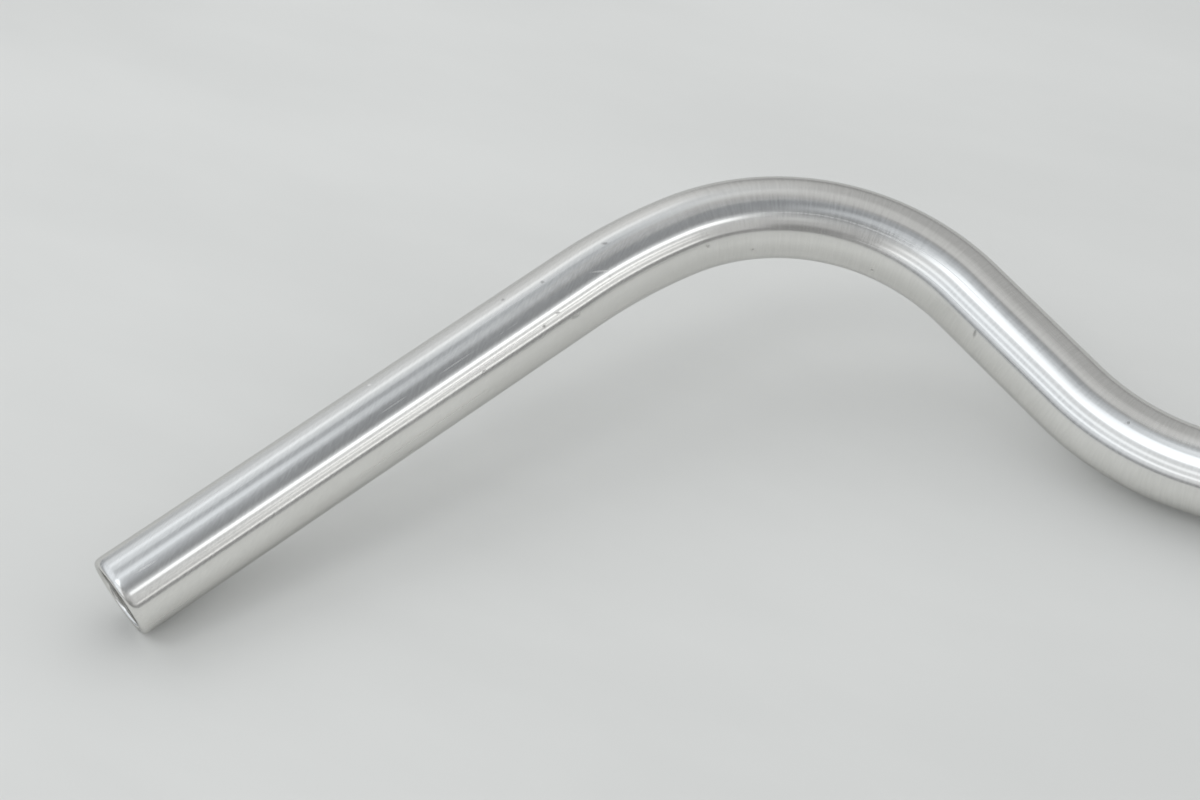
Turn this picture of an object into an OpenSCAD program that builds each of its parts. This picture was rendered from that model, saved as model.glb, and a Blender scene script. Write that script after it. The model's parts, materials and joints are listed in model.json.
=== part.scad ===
// Swept-back handlebar, bent from one aluminium tube.
// The bar lies on its clamp zone and on the rims of its two open ends.
// X runs along the clamp zone, +Y is forward and +Z is up.
// The origin is the middle of the clamp zone, on the tube's axis.

/* [Tube] */
// Outer diameter of the tube, as grips and levers need it
tube_d = 22.2; // [20:0.1:24]
// Thickness of the tube's wall
wall = 2; // [1.8:0.1:3]
// How far bending draws each face of the wall in
bend_thinning = 0.005; // [0.005:0.005:0.1]

/* [Open ends] */
// Length along the tube over which the outer edge is rounded
end_round_len = 2.1; // [0.4:0.1:3]
// Depth of that rounding into the wall
end_round_depth = 1; // [0.3:0.1:1.1]
// Length along the bore over which the inner edge is rounded
end_break_len = 0.8; // [0.2:0.1:2]
// Depth of the inner rounding into the wall
end_break_depth = 0.6; // [0.1:0.1:0.6]

/* [Clamp zone] */
// Diameter of the swelled zone that the stem holds
clamp_d = 25.4; // [24.5:0.1:32]
// Length of the swelled zone at its full diameter
clamp_len = 50; // [30:1:64]
// Length of each smooth taper from the swelled zone to the tube
taper_len = 15; // [8:1:25]
// Straight length between the two inner bends
middle_len = 130; // [115:1:200]

/* [Inner bends] */
// Centreline radius where the legs leave the middle
inner_bend_r = 80; // [40:1:120]
// Angle by which each leg leans away from the middle
inner_bend_angle = 27; // [10:0.5:40]
// Straight length of each leg between its bends
leg_len = 39; // [10:1:80]

/* [Outer bends] */
// Centreline radius of the tight bend that sweeps the bar back
outer_bend_r = 64; // [40:0.5:90]
// Angle that the tight bend turns
outer_bend_angle = 76; // [60:0.5:90]
// Centreline radius of the open curve that runs out to the grip
run_out_r = 155; // [100:1:250]
// Angle that the open curve turns
run_out_angle = 12; // [5:0.5:20]
// Angle between the planes of the inner and the outer bend
plane_angle = 30.5; // [10:0.5:50]

/* [Grips] */
// Straight length of each grip
grip_len = 144; // [100:1:180]

/* [Hidden] */
$fn = 96;
tube_r = tube_d / 2;
clamp_r = clamp_d / 2;
// Straight lengths reach this far into the bends, which they cover
joint_lap = 0.2;
taper_steps = 12;
round_steps = 6;

// Each step of the bar's path is a matrix. The tube always leaves along its +Z.
function straight_step(len) = [[1, 0, 0, 0], [0, 1, 0, 0], [0, 0, 1, len], [0, 0, 0, 1]];

function bend_step(radius, angle) = [
    [cos(angle), 0, sin(angle), radius * (1 - cos(angle))],
    [0, 1, 0, 0],
    [-sin(angle), 0, cos(angle), radius * sin(angle)],
    [0, 0, 0, 1]
];

function roll_step(angle) = [
    [cos(angle), -sin(angle), 0, 0],
    [sin(angle), cos(angle), 0, 0],
    [0, 0, 1, 0],
    [0, 0, 0, 1]
];

// The first step turns +Z to the right along X, with the inner bend towards +Z
start_step = [[0, 0, 1, 0], [0, -1, 0, 0], [1, 0, 0, 0], [0, 0, 0, 1]];
plane_roll = 180 - plane_angle;

// Middle of the right end's rim, and the way the grip points there
grip_end = start_step * straight_step(middle_len / 2) * bend_step(inner_bend_r, inner_bend_angle)
    * straight_step(leg_len) * roll_step(plane_roll) * bend_step(outer_bend_r, outer_bend_angle)
    * bend_step(run_out_r, run_out_angle) * straight_step(grip_len);

// Height of the end's lowest point over the clamp zone's, once the bar is turned about X
function turned_z(column, angle) = grip_end[1][column] * sin(angle) + grip_end[2][column] * cos(angle);

function end_gap(angle) =
    let (fall = -turned_z(2, angle), level = sqrt(1 - fall * fall))
    turned_z(3, angle) + clamp_r + end_round_len * fall - (tube_r - end_round_depth) * level
        - norm([end_round_len * fall, end_round_depth * level]);

// The bar comes to rest where that gap closes, found by halving the range of angles
function rest_angle(low, high, halvings) =
    let (mid = (low + high) / 2)
    halvings == 0 ? mid
        : end_gap(mid) > 0 ? rest_angle(mid, high, halvings - 1)
        : rest_angle(low, mid, halvings - 1);

// Points of the middle's outline, inset from its outer face
function swell_radius(share) = tube_r + (clamp_r - tube_r) * (1 + cos(180 * share)) / 2;

function half_swell(inset) = [
    for (i = [0:taper_steps])
        [swell_radius(i / taper_steps) - inset, clamp_len / 2 + taper_len * i / taper_steps]
];

function middle_edge(inset) = concat(
    [[tube_r - inset, middle_len / 2 + joint_lap]],
    [for (i = [taper_steps:-1:0]) half_swell(inset)[i]],
    [for (point = half_swell(inset)) [point[0], -point[1]]],
    [[tube_r - inset, -middle_len / 2 - joint_lap]]
);

function reversed(points) = [for (i = [len(points) - 1:-1:0]) points[i]];

// Quarter of an ellipse that rounds an edge of the open end, from the face to the wall
function end_edge(radius, length, depth) = [
    for (i = [0:round_steps])
        [radius - depth * (1 - sin(90 * i / round_steps)),
            grip_len - length * (1 - cos(90 * i / round_steps))]
];

module ring(thinning) {
    difference() {
        circle(tube_r - thinning);
        circle(tube_r - wall + thinning);
    }
}

module middle() {
    rotate([0, 90, 0])
        rotate_extrude()
            polygon(concat(middle_edge(0), reversed(middle_edge(wall))));
}

// Lengths of the path, each of which carries what follows it
module straight(length) {
    translate([0, 0, -joint_lap])
        linear_extrude(length + 2 * joint_lap)
            ring(0);
    translate([0, 0, length])
        children();
}

// A bend turns the tube towards +X and has a straight length at each end, if only to join it
module bend(radius, angle) {
    translate([radius, 0, 0]) {
        rotate([90, 0, 180])
            rotate_extrude(angle = angle)
                translate([radius, 0])
                    ring(bend_thinning);
        rotate([0, angle, 0])
            translate([-radius, 0, 0])
                children();
    }
}

module grip() {
    rotate_extrude()
        polygon(concat(
            [[tube_r - wall, -joint_lap], [tube_r, -joint_lap]],
            reversed(end_edge(tube_r, end_round_len, end_round_depth)),
            end_edge(tube_r - wall, end_break_len, -end_break_depth)
        ));
}

module half() {
    multmatrix(start_step)
        translate([0, 0, middle_len / 2])
            bend(inner_bend_r, inner_bend_angle)
                straight(leg_len)
                    rotate([0, 0, plane_roll])
                        bend(outer_bend_r, outer_bend_angle)
                            straight(0)
                                bend(run_out_r, run_out_angle)
                                    grip();
}

module handlebar() {
    color("silver")
        rotate([rest_angle(-90, 0, 40), 0, 0]) {
            middle();
            half();
            mirror([1, 0, 0])
                half();
        }
}

handlebar();
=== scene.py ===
"""Swept-back handlebar of bare aluminium, lying on a pale floor.

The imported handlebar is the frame. A finer mesh of the same tube stands for it, made from the
same sizes as the part's source, in metres.
"""

import json
import math

import bpy
from mathutils import Matrix, Vector

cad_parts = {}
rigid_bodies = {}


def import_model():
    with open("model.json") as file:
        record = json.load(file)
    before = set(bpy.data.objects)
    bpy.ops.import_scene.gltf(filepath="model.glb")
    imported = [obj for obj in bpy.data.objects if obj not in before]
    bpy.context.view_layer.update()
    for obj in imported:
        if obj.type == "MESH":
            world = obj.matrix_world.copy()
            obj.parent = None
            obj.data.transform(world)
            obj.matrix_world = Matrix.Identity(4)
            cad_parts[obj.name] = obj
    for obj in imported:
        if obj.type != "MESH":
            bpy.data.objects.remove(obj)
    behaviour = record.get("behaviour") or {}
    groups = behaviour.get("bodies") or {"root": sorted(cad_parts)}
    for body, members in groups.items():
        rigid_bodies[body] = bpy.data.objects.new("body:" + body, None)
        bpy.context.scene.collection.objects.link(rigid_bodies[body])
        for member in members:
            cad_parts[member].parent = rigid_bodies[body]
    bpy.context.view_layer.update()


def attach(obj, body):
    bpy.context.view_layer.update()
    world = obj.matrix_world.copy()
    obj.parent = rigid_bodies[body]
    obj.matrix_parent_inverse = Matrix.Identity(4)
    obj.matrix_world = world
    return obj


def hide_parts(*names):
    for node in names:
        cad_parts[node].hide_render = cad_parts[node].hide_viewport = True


for old in list(bpy.data.objects):
    bpy.data.objects.remove(old)

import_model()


# Sizes of the tube, in metres, as in the part's source
TUBE_R = 0.0111
WALL = 0.002
CLAMP_R = 0.0127
CLAMP_HALF = 0.025
TAPER = 0.015
GRIP = 0.144
END_ROUND = (0.0021, 0.001)
END_BREAK = (0.0008, 0.0006)
# The straight length, the roll, the bend's radius and its angle, from the middle outwards
BENDS = (
    (0.065, 0.0, 0.080, 27.0),
    (0.039, 149.5, 0.064, 76.0),
    (0.0, 0.0, 0.155, 12.0),
)
# Distance between the mesh's rings, in bends and in straight lengths
BEND_STEP = 0.0016
STRAIGHT_STEP = 0.0035
# Points of a ring, outside and in the bore
AROUND = 128
AROUND_BORE = 64
# Steps of each rounded edge, and how far the other rings keep from it, in its lengths
ROUND_STEPS = 10
ROUND_CLEAR = 1.2
# Distance round the tube. The UV map is in metres, along the tube and round it.
ROUND = 2 * math.pi * TUBE_R
# Halvings that find the angle at which the bar lies
HALVINGS = 50
MM = 0.001


def straight_step(length):
    return Matrix.Translation((0, 0, length))


def bend_step(radius, angle):
    """The tube always leaves along its own +Z and bends towards its own +X."""
    turn = Matrix.Rotation(angle, 4, "Y")
    turn.translation = (radius * (1 - math.cos(angle)), 0, radius * math.sin(angle))
    return turn


def half_path():
    """Stations (distance, point, direction) along the right half, before the bar is laid down."""
    here = Matrix(((0, 0, 1, 0), (0, -1, 0, 0), (1, 0, 0, 0), (0, 0, 0, 1)))
    path, run = [], 0.0

    def add(matrix, distance):
        path.append((distance, matrix.to_translation(), matrix.to_3x3().col[2].copy()))

    for straight, roll, radius, degrees in BENDS + ((GRIP, 0.0, 0.0, 0.0),):
        count = math.ceil(straight / STRAIGHT_STEP)
        for i in range(count):
            add(here @ straight_step(straight * i / count), run + straight * i / count)
        here = here @ straight_step(straight) @ Matrix.Rotation(math.radians(roll), 4, "Z")
        run += straight
        if radius:
            angle = math.radians(degrees)
            count = math.ceil(radius * angle / BEND_STEP)
            for i in range(count):
                add(here @ bend_step(radius, angle * i / count), run + radius * angle * i / count)
            here = here @ bend_step(radius, angle)
            run += radius * angle
    add(here, run)
    return path


def laid_down(path):
    """The path turned about X until the rims of the open ends touch the clamp zone's floor."""
    _, point, way = path[-1]
    low, high = -math.pi / 2, 0.0
    for _ in range(HALVINGS):
        angle = (low + high) / 2
        turn = Matrix.Rotation(angle, 3, "X")
        fall = -(turn @ way).z
        level = math.sqrt(1 - fall * fall)
        round_len, round_depth = END_ROUND
        gap = (
            (turn @ point).z
            + CLAMP_R
            + round_len * fall
            - (TUBE_R - round_depth) * level
            - math.hypot(round_len * fall, round_depth * level)
        )
        low, high = (angle, high) if gap > 0 else (low, angle)
    return [(s, turn @ p, (turn @ d).normalized()) for s, p, d in path]


RIGHT = laid_down(half_path())
HALF_LENGTH = RIGHT[-1][0]


def swell(distance):
    """How far the tube's surface stands out over its plain radius, near the middle."""
    share = min(max((abs(distance) - CLAMP_HALF) / TAPER, 0.0), 1.0)
    return (CLAMP_R - TUBE_R) * (1 + math.cos(math.pi * share)) / 2


def whole_path():
    """Stations of the whole bar, with a side direction that doesn't twist."""
    left = [
        (-s, Vector((-p.x, p.y, p.z)), Vector((d.x, -d.y, -d.z))) for s, p, d in RIGHT[:0:-1]
    ]
    path = left + RIGHT
    middle = len(left)
    sides = [None] * len(path)
    sides[middle] = Vector((0, 0, -1))
    for order in (range(middle + 1, len(path)), range(middle - 1, -1, -1)):
        last = sides[middle]
        for i in order:
            way = path[i][2]
            last = (last - way * last.dot(way)).normalized()
            sides[i] = last
    return [(s, p, d, side) for (s, p, d), side in zip(path, sides)]


def quarter(radius, depth, length):
    """Points (distance from the end, radius) of a rounded edge, from the wall to the end's face."""
    turns = [math.pi / 2 * i / ROUND_STEPS for i in range(ROUND_STEPS + 1)]
    return [(length * (1 - math.sin(t)), radius - depth * (1 - math.cos(t))) for t in turns]


def build_tube():
    """The tube as one closed mesh: outside, right rim, bore and left rim."""
    path = whole_path()
    points, along, faces, uvs = [], [], [], []

    def ring(station, radius, count, shift=0.0):
        """A ring of points about the path, shifted along it, as (first index, count, place)."""
        s, p, d, side = station
        other = d.cross(side)
        first = len(points)
        for k in range(count):
            angle = 2 * math.pi * k / count
            out = side * math.cos(angle) + other * math.sin(angle)
            points.append(p + d * shift + out * radius)
            along.append((s + shift, radius * math.cos(angle), radius * math.sin(angle)))
        return first, count, s + shift

    def join(a, b):
        """Faces between two rings, one of which may have twice the points of the other."""
        fewer = min(a[1], b[1])

        def shared(one, k):
            """Corners (index, place in the UV map) of face k that lie on one ring."""
            first, count, s = one
            steps = count // fewer
            return [
                (first + (steps * k + i) % count, (s, ROUND * (k + i / steps) / fewer))
                for i in range(steps + 1)
            ]

        for k in range(fewer):
            round_face = shared(a, k) + shared(b, k)[::-1]
            faces.append([index for index, _ in round_face])
            uvs.append([place for _, place in round_face])

    first_end, last_end = path[0], path[-1]
    outer_edge = quarter(TUBE_R, END_ROUND[1], END_ROUND[0])
    inner_edge = quarter(TUBE_R - WALL, -END_BREAK[1], END_BREAK[0])
    rounded = max(END_ROUND[0], END_BREAK[0]) * ROUND_CLEAR
    body = [q for q in path if abs(q[0]) < HALF_LENGTH - rounded]

    rings = [ring(first_end, r, AROUND, back) for back, r in reversed(outer_edge)]
    rings += [ring(q, TUBE_R + swell(q[0]), AROUND) for q in body]
    rings += [ring(last_end, r, AROUND, -back) for back, r in outer_edge]
    rings += [ring(last_end, r, AROUND_BORE, -back) for back, r in reversed(inner_edge)]
    rings += [ring(q, TUBE_R - WALL + swell(q[0]), AROUND_BORE) for q in reversed(body)]
    rings += [ring(first_end, r, AROUND_BORE, back) for back, r in inner_edge]
    for a, b in zip(rings, rings[1:] + rings[:1]):
        join(a, b)

    mesh = bpy.data.meshes.new("handlebar_tube")
    mesh.from_pydata(points, [], faces)
    mesh.update()
    path_place = mesh.attributes.new("tube", "FLOAT_VECTOR", "POINT")
    path_place.data.foreach_set("vector", [x for place in along for x in place])
    layer = mesh.uv_layers.new(name="round_tube")
    layer.data.foreach_set("uv", [x for face in uvs for place in face for x in place])
    for polygon in mesh.polygons:
        polygon.use_smooth = True
    return mesh


tube = bpy.data.objects.new("handlebar_tube", build_tube())
bpy.context.scene.collection.objects.link(tube)
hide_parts("handlebar")
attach(tube, "root")


class Nodes:
    """Short ways to add nodes to a tree and join them."""

    def __init__(self, tree):
        self.tree = tree
        tree.nodes.clear()

    def add(self, kind, inputs=(), **settings):
        """A node, with its settings and its inputs, each a constant or another node's output."""
        node = self.tree.nodes.new(kind)
        for name, value in settings.items():
            setattr(node, name, value)
        for name, value in dict(inputs).items():
            if isinstance(value, bpy.types.NodeSocket):
                self.tree.links.new(value, node.inputs[name])
            else:
                node.inputs[name].default_value = value
        return node

    def math(self, operation, *values):
        return self.add("ShaderNodeMath", enumerate(values), operation=operation).outputs[0]

    def blend(self, share, a, b):
        """A number that goes from a to b."""
        return self.math("MULTIPLY_ADD", share, self.math("SUBTRACT", b, a), a)

    def facing(self, bearing, middle):
        """1 towards a bearing in degrees, falling to -1 on the other side."""
        apart = self.math("SUBTRACT", bearing, middle)
        return self.math("COSINE", self.math("RADIANS", apart))

    def rise(self, value, low, high, bottom=0.0, top=1.0):
        """A smooth step from bottom at low to top at high."""
        return self.add(
            "ShaderNodeMapRange",
            {"Value": value, "From Min": low, "From Max": high, "To Min": bottom, "To Max": top},
            interpolation_type="SMOOTHSTEP",
        ).outputs[0]

    def hump(self, value, low, high, soft):
        """1 between low and high, and 0 outside, with soft edges."""
        up = self.rise(value, low - soft, low + soft)
        down = self.rise(value, high - soft, high + soft, 1.0, 0.0)
        return self.math("MULTIPLY", up, down)

    def mix(self, share, a, b):
        """A colour that goes from a to b."""
        return self.add("ShaderNodeMix", {0: share, 6: a, 7: b}, data_type="RGBA").outputs[2]

    def scaled(self, colour, factor):
        return self.add(
            "ShaderNodeVectorMath", {0: colour, "Scale": factor}, operation="SCALE"
        ).outputs[0]

    def away(self, place, centre, degrees, radii):
        """How far a place is from the centre of a turned ellipse, in its radii."""
        from_centre = self.add(
            "ShaderNodeMapping",
            {
                "Vector": place,
                "Location": (*centre, 0),
                "Rotation": (0, 0, math.radians(degrees)),
                "Scale": (*radii, 1),
            },
            vector_type="TEXTURE",
        ).outputs[0]
        return self.add(
            "ShaderNodeVectorMath", {0: from_centre}, operation="LENGTH"
        ).outputs["Value"]

    def noise(self, place, scale, detail=2.0, roughness=0.5):
        """Noise of a place, stretched by a scale for each direction."""
        stretched = self.add(
            "ShaderNodeVectorMath", {0: place, 1: scale}, operation="MULTIPLY"
        ).outputs[0]
        return self.add(
            "ShaderNodeTexNoise",
            {"Vector": stretched, "Scale": 1.0, "Detail": detail, "Roughness": roughness},
        ).outputs["Fac"]


# Marks on the visible half, in millimetres: the place along the tube and round it, half the
# mark's length along and round, its turn in degrees, how dark it is and how much it dulls
MARKS = (
    (-276.0, 45.0, 0.55, 0.5, 0, 0.34, 0.15),
    (-271.0, 43.9, 0.9, 0.3, 30, 0.3, 0.15),
    (-248.9, 35.0, 0.9, 0.5, 40, 0.34, 0.15),
    (-269.0, 34.5, 0.5, 0.6, 0, 0.32, 0.15),
    (-280.0, 31.8, 0.5, 0.6, 0, 0.32, 0.15),
    (-253.2, 43.5, 0.4, 0.4, 0, 0.2, 0.1),
    (-267.1, 47.7, 1.6, 0.5, 10, 0.2, 0.15),
    (-254.9, 41.05, 2.5, 0.3, 25, -0.12, 0.2),
    (-321.9, 30.4, 0.5, 0.6, 0, -0.22, 0.0),
    (-320.9, 40.1, 4.2, 0.16, 0, -0.1, 0.15),
    (-300.9, 40.1, 5.4, 0.16, 0, -0.1, 0.15),
    (-322.2, 55.0, 1.6, 0.5, 0, 0.14, 0.1),
    (-130.7, 49.5, 0.45, 1.3, -20, 0.34, 0.15),
    (-296.1, 45.8, 0.6, 0.4, 0, -0.14, 0.3),
    (-208.0, 52.9, 0.6, 0.5, 0, 0.22, 0.15),
    (-222.9, 48.2, 0.8, 0.5, 20, 0.2, 0.15),
    (-168.1, 54.0, 0.5, 0.5, 0, 0.26, 0.15),
    (-394.2, 39.3, 2.8, 0.2, 2, -0.1, 0.15),
)


# How often the aluminium's noises change in a metre, along the tube and across it
CROSSWISE_LINES = (2200, 160, 160)
SLANTED_LINES = (420, 2400, 1)
BROAD_STREAKS = (420, 14, 14)
CLOUDS = (30, 60, 60)
SLIDING_SCRATCHES = (9, 1500, 1500)
# Slant of the lines on the grips, in degrees, and where along the tube they take over
SLANT = 32
SLANT_FROM, SLANT_FULL = 0.2, 0.26
# The marks end here, in metres along the tube, and scattered specks begin
SPECKS_FROM = -0.12
SPECKS_IN_A_METRE = 40.0
METAL_DARK = (0.775, 0.767, 0.74, 1)
METAL_PALE = (0.81, 0.802, 0.775, 1)
# The metal reflects less at its edges, which are seen at a grazing angle
EDGE_TINT = (0.74, 0.74, 0.74, 1)
BUMP_HEIGHT = 0.00001


def marked(n, flat, dark, dull):
    """How dark and how dull the surface is, with the marks added."""
    for s, v, half_along, half_round, degrees, darker, duller in MARKS:
        apart = n.away(
            flat, (s * MM, v * MM), degrees, (half_along * MM, half_round * MM)
        )
        share = n.rise(apart, 0.3, 1.4, 1.0, 0.0)
        dark = n.math("MULTIPLY_ADD", share, darker, dark)
        dull = n.math("MULTIPLY_ADD", share, duller, dull)
    return dark, dull


def specks(n, flat, along):
    """Dark specks of different sizes, where the marks don't reach."""
    cells = n.add(
        "ShaderNodeTexVoronoi",
        {"Vector": flat, "Scale": SPECKS_IN_A_METRE},
        voronoi_dimensions="2D",
    )
    pick = n.add("ShaderNodeSeparateColor", {0: cells.outputs["Color"]}).outputs
    reach = n.rise(pick[1], 0.0, 1.0, 0.010, 0.022)
    speck = n.math("LESS_THAN", cells.outputs["Distance"], reach)
    speck = n.math("MULTIPLY", speck, n.math("GREATER_THAN", pick[0], 0.5))
    return n.math("MULTIPLY", speck, n.rise(along, SPECKS_FROM, SPECKS_FROM + 0.005))


def aluminium():
    """Bare polished aluminium, with fine brushing, scratches, specks and marks."""
    material = bpy.data.materials.new("brushed_aluminium")
    material.use_nodes = True
    n = Nodes(material.node_tree)
    place = n.add("ShaderNodeAttribute", attribute_name="tube").outputs["Vector"]
    flat = n.add("ShaderNodeUVMap", uv_map="round_tube").outputs[0]
    along = n.add("ShaderNodeSeparateXYZ", {0: flat}).outputs[0]
    # Polishing lines run round the bends and slant along the grips
    crosswise = n.noise(place, CROSSWISE_LINES, 3.0, 0.6)
    turned = n.add(
        "ShaderNodeMapping", {"Vector": flat, "Rotation": (0, 0, math.radians(SLANT))}
    ).outputs[0]
    slanted = n.noise(turned, SLANTED_LINES, 3.0, 0.6)
    on_grip = n.rise(n.math("ABSOLUTE", along), SLANT_FROM, SLANT_FULL)
    lines = n.blend(on_grip, crosswise, slanted)
    height = n.math("MULTIPLY_ADD", n.noise(place, BROAD_STREAKS), 0.3, lines)
    cloud = n.noise(place, CLOUDS, 3.0)
    # Grips and levers that slid on have left a few fine scratches along the tube
    slid = n.rise(n.noise(place, SLIDING_SCRATCHES), 0.66, 0.74)
    dark = n.math("MULTIPLY", specks(n, flat, along), 0.32)
    dull = n.math("MULTIPLY_ADD", slid, 0.12, n.math("MULTIPLY", dark, 0.5))
    dark, dull = marked(n, flat, dark, dull)

    shade = n.math("SUBTRACT", n.rise(lines, 0.3, 0.7, 0.965, 1.035), dark)
    colour = n.scaled(n.mix(n.rise(cloud, 0.3, 0.7), METAL_DARK, METAL_PALE), shade)
    roughness = n.math(
        "ADD", n.rise(lines, 0.35, 0.65, 0.15, 0.19), n.rise(cloud, 0.3, 0.7, -0.01, 0.02)
    )
    bump = n.add(
        "ShaderNodeBump", {"Strength": 0.22, "Distance": BUMP_HEIGHT, "Height": height}
    ).outputs[0]
    tangent = n.add("ShaderNodeTangent", direction_type="UV_MAP", uv_map="round_tube").outputs[0]
    shader = n.add(
        "ShaderNodeBsdfPrincipled",
        {
            "Base Color": colour,
            "Metallic": 1.0,
            "Roughness": n.math("ADD", roughness, dull),
            "Specular Tint": EDGE_TINT,
            "Anisotropic": 0.6,
            "Tangent": tangent,
            "Normal": bump,
        },
    )
    n.add("ShaderNodeOutputMaterial", {"Surface": shader.outputs[0]})
    return material


tube.data.materials.append(aluminium())


FLOOR_HALF = 6.0
FLOOR_DARK = (0.652, 0.659, 0.65, 1)
FLOOR_PALE = (0.692, 0.699, 0.69, 1)
# How often the floor's patches change in a metre
FLOOR_PATCHES = (5, 14, 5)
# Middle of what the camera sees of the floor, its turn in degrees and its half sizes; painted shade
# darkens the floor away from it
SEEN_MIDDLE, SEEN_TURN, SEEN_HALVES = (-0.221, -0.032), 28, (0.166, 0.25)


def floor_paint():
    """Plain pale paint, faintly uneven, with painted shade that darkens it a little away from the
    bar.
    """
    material = bpy.data.materials.new("pale_floor")
    material.use_nodes = True
    n = Nodes(material.node_tree)
    place = n.add("ShaderNodeTexCoord").outputs["Object"]
    patches = n.noise(place, FLOOR_PATCHES, 4.0)
    # Painted shade: the colour darkens a little outside the middle of what the camera sees
    away = n.away(place, SEEN_MIDDLE, SEEN_TURN, SEEN_HALVES)
    colour = n.scaled(
        n.mix(n.rise(patches, 0.3, 0.7), FLOOR_DARK, FLOOR_PALE),
        n.rise(away, 0.4, 3.2, 0.995, 0.92),
    )
    shader = n.add("ShaderNodeBsdfPrincipled", {"Base Color": colour, "Roughness": 0.6})
    n.add("ShaderNodeOutputMaterial", {"Surface": shader.outputs[0]})
    return material


def build_floor():
    """A square floor that the clamp zone rests on."""
    mesh = bpy.data.meshes.new("floor")
    square = [(x * FLOOR_HALF, y * FLOOR_HALF, 0) for x, y in ((-1, -1), (1, -1), (1, 1), (-1, 1))]
    mesh.from_pydata(square, [], [(0, 1, 2, 3)])
    floor = bpy.data.objects.new("floor", mesh)
    bpy.context.scene.collection.objects.link(floor)
    floor.location.z = -CLAMP_R
    mesh.materials.append(floor_paint())


build_floor()


# Panels of the studio: their light, the bearing of their middle and half their width, their
# lower and upper height, all in degrees, and how soft the edges are across and upwards.
# Later panels lie over earlier ones.
PANELS = (
    (0.92, 248, 34, 24, 70, 12, 8),
    (0.42, 270, 32, -20, 17, 3, 5),
    (0.70, 313, 13, -20, 32, 4, 6),
    (0.38, 358, 28, -20, 12, 14, 10),
    (0.46, 14, 22, 10, 48, 12, 8),
    (0.77, 332, 18, 56, 68, 10, 4),
    (0.80, 306, 20, 22, 56.5, 6, 3),
    (1.07, 304, 20, 38, 48.5, 6, 3),
    (0.46, 300, 28, 63, 77, 8, 3),
    (0.50, 350, 32, 72, 83, 10, 3),
    (0.66, 42, 18, 62, 75, 6, 2),
    (0.40, 40, 30, 75.5, 83, 10, 2),
    (1.04, 240, 50, 78, 95, 14, 3),
    (0.31, 98, 32, 52, 82, 8, 4),
    (0.64, 150, 16, 64, 84, 9, 4),
    (0.35, 152, 18, 0, 62, 8, 5),
    (0.50, 151, 15, 19, 45, 6, 4),
    (0.66, 143, 6, 29, 38, 4, 3),
    (0.32, 160, 66, -20, 5, 8, 2),
    (0.28, 148, 14, -8, 15, 6, 3),
    (0.62, 105, 25, 42, 51, 4, 3),
    (0.58, 110, 25, 8, 47, 3, 1),
    (0.72, 97, 13, 14, 38, 4, 1.5),
    (1.65, 103, 20, 38, 46, 3, 1.4),
    (1.75, 98, 12, 27.5, 31, 4, 0.6),
    (1.70, 98, 12, 21, 23.5, 4, 0.5),
    (1.60, 100, 13, 10, 13, 3, 0.5),
    (0.82, 196, 20, 8, 51, 4, 2),
    (1.40, 196, 19, 17, 22, 3, 1),
    (1.25, 196, 19, 31.5, 38.5, 3, 1.5),
    (1.55, 195, 19, 51, 77, 5, 2),
)


# Bearings, in degrees, of the room's brightest side, its coolest light and its warmest light
BRIGHT_SIDE, COOL_SIDE, WARM_SIDE = 275.0, 245.0, 25.0
COOL_LIGHT = (0.95, 1.0, 1.065, 1)
WARM_LIGHT = (0.99, 1.0, 1.01, 1)
EVEN_LIGHT = (0.99, 1.0, 1.0, 1)


def with_panels(n, room, bearing, up):
    """The light of the room with its panels laid over it."""
    for light, middle, half, low, high, soft_across, soft_up in PANELS:
        # The angle is kept positive, so that the modulo holds for every bearing
        turned = n.math("MODULO", n.math("SUBTRACT", bearing, middle - 540.0), 360.0)
        apart = n.math("ABSOLUTE", n.math("SUBTRACT", turned, 180.0))
        across = n.rise(apart, half - soft_across, half + soft_across, 1.0, 0.0)
        share = n.math("MULTIPLY", across, n.hump(up, low, high, soft_up))
        room = n.blend(share, room, light)
    return room


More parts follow.
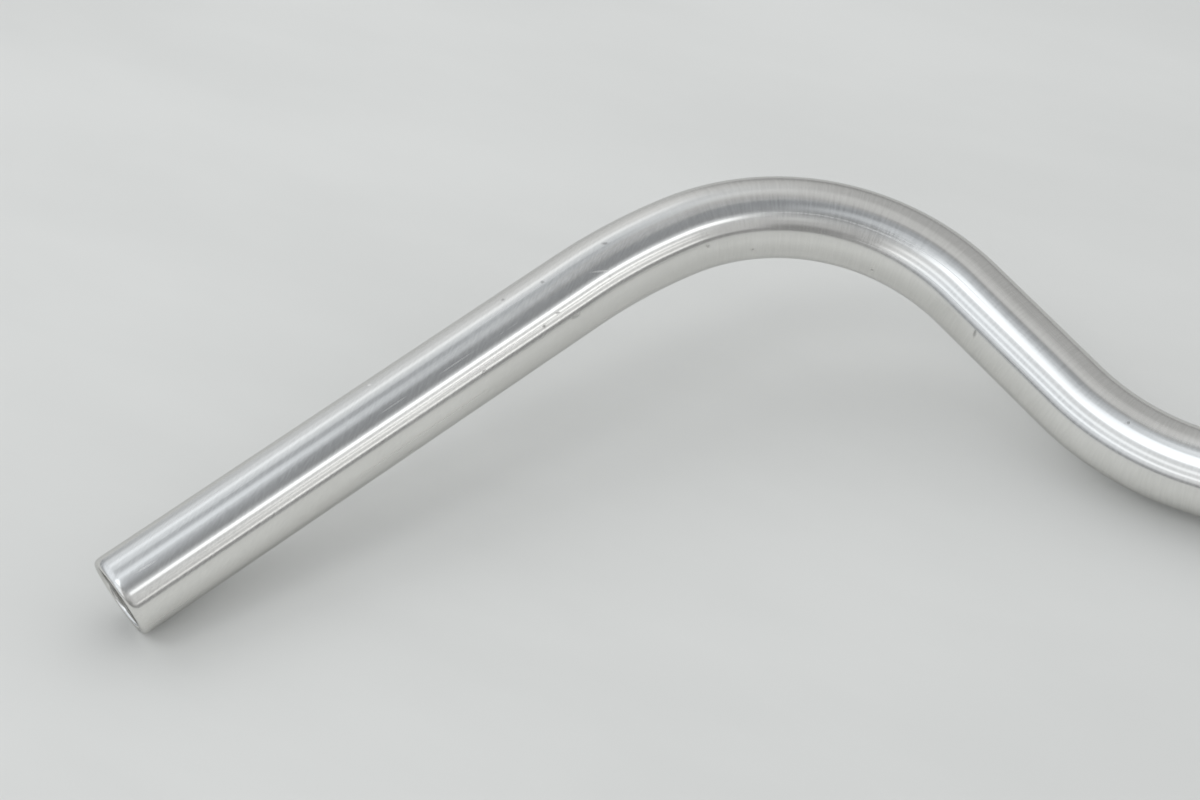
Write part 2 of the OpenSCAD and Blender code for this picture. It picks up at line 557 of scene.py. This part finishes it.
def build_world():
    """A pale studio, lit from the left and from above, with slatted windows on two sides."""
    world = bpy.data.worlds.new("studio")
    bpy.context.scene.world = world
    world.use_nodes = True
    n = Nodes(world.node_tree)
    way = n.add("ShaderNodeTexCoord").outputs["Generated"]
    x, y, z = n.add("ShaderNodeSeparateXYZ", {0: way}).outputs
    up = n.math("DEGREES", n.math("ARCSINE", z))
    # Bearing from +Y towards +X
    bearing = n.math("DEGREES", n.math("ARCTAN2", x, y))
    # The room is brighter overhead and on one side
    level = n.math("COSINE", n.math("RADIANS", up))
    side = n.math("MULTIPLY", n.facing(bearing, BRIGHT_SIDE), level)
    room = n.math("MULTIPLY_ADD", side, 0.2, n.rise(up, 0.0, 62.0, 0.42, 0.63))
    room = with_panels(n, room, bearing, up)
    # Overhead, behind and on the left the light is cooler, and ahead it is warmer
    not_ahead = n.rise(n.facing(bearing, WARM_SIDE), 0.5, 0.9, 1.0, 0.0)
    overhead = n.math("MAXIMUM", not_ahead, n.rise(up, 76.0, 84.0))
    overhead = n.math("MULTIPLY", overhead, n.rise(up, 20.0, 75.0))
    cool = n.math("MAXIMUM", overhead, n.rise(n.facing(bearing, COOL_SIDE), 0.3, 0.75))
    tint = n.mix(cool, WARM_LIGHT, COOL_LIGHT)
    light = n.add("ShaderNodeBackground", {"Color": tint, "Strength": room})
    # The panels show in reflections only. An even light, weaker overhead, falls on the rest.
    path = n.add("ShaderNodeLightPath").outputs
    even = n.rise(up, 30.0, 80.0, 1.0, 0.7)
    even = n.math("MULTIPLY_ADD", path["Is Camera Ray"], -0.22, even)
    plain = n.add("ShaderNodeBackground", {"Color": EVEN_LIGHT, "Strength": even})
    either = n.math("MAXIMUM", path["Is Camera Ray"], path["Is Diffuse Ray"])
    both = n.add("ShaderNodeMixShader", {0: either, 1: light.outputs[0], 2: plain.outputs[0]})
    n.add("ShaderNodeOutputWorld", {"Surface": both.outputs[0]})


build_world()


LAMP_AIM = Vector((-0.15, 0, 0))
LAMP_DISTANCE = 2.0


def build_lamp(name, bearing, height, size, power):
    """A square lamp that faces the visible bend, placed by its bearing and height in degrees."""
    data = bpy.data.lights.new(name, "AREA")
    data.size = size
    data.energy = power
    lamp = bpy.data.objects.new(name, data)
    bpy.context.scene.collection.objects.link(lamp)
    a, h = math.radians(bearing), math.radians(height)
    way = Vector((math.sin(a) * math.cos(h), math.cos(a) * math.cos(h), math.sin(h)))
    lamp.location = LAMP_AIM + way * LAMP_DISTANCE
    lamp.rotation_euler = way.to_track_quat("Z", "Y").to_euler()
    # The studio's panels stand for the lamps in reflections
    lamp.visible_glossy = False


build_lamp("key", 221, 52, 0.55, 3)
build_lamp("fill", 283, 46, 0.9, 3)

# The camera, as fitted to the photograph: its place, and its bearing, pitch and roll in radians
CAMERA_PLACE = (-0.009175, -0.42732645, 0.39253576)
HEADING, PITCH, ROLL = -0.492824738, 0.735219777, -0.0178509221
FOCAL_PIXELS, WIDTH_PIXELS = 2183.06, 1200
SENSOR_WIDTH = 36.0


def build_camera():
    """The camera, turned to its bearing, pitched down and rolled."""
    ahead = Vector(
        (
            math.sin(HEADING) * math.cos(PITCH),
            math.cos(HEADING) * math.cos(PITCH),
            -math.sin(PITCH),
        )
    )
    level = Vector((math.cos(HEADING), -math.sin(HEADING), 0))
    down = ahead.cross(level)
    right = math.cos(ROLL) * level - math.sin(ROLL) * down
    down = math.sin(ROLL) * level + math.cos(ROLL) * down
    data = bpy.data.cameras.new("camera")
    data.sensor_fit = "HORIZONTAL"
    data.sensor_width = SENSOR_WIDTH
    data.lens = SENSOR_WIDTH * FOCAL_PIXELS / WIDTH_PIXELS
    data.clip_start, data.clip_end = 0.01, 50.0
    camera = bpy.data.objects.new("camera", data)
    bpy.context.scene.collection.objects.link(camera)
    turn = Matrix((right, -down, -ahead)).transposed()
    camera.matrix_world = Matrix.Translation(CAMERA_PLACE) @ turn.to_4x4()
    bpy.context.scene.camera = camera


build_camera()
bpy.context.scene.view_settings.view_transform = "Standard"
